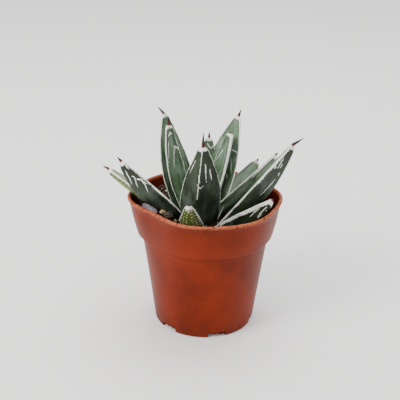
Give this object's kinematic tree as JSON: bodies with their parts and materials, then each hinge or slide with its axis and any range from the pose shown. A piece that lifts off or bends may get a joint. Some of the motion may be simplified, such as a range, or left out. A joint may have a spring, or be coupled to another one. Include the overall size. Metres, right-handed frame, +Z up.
{
  "type": "queen victoria agave in a round plastic nursery pot",
  "caption": "Queen Victoria agave with thick keeled dark green leaves, white margins and dark spines, growing in a terracotta-coloured round plastic nursery pot.",
  "frame": {"origin": "middle of the pot's flat base", "axes": "+Z up along the pot's axis, -Y towards the front of the plant"},
  "size_m": [0.1097, 0.0865, 0.1217],
  "materials": {
    "terracotta_plastic": "satin",
    "soil": "matte",
    "leaf": "satin",
    "stem": "matte",
    "stone": "matte",
    "straw": "matte"
  },
  "bodies": {
    "root": {"pot": "terracotta_plastic", "soil": "soil", "stem": "stem", "bud": "leaf", "leaf_01": "leaf", "leaf_02": "leaf", "leaf_03": "leaf", "leaf_04": "leaf", "leaf_05": "leaf", "leaf_06": "leaf", "leaf_07": "leaf", "leaf_08": "leaf", "leaf_09": "leaf", "leaf_10": "leaf", "leaf_11": "leaf", "leaf_12": "leaf", "leaf_13": "leaf", "leaf_14": "leaf", "grey_stone": "stone", "dark_pebble": "stone", "straw_chip": "straw"}
  },
  "joints": []
}
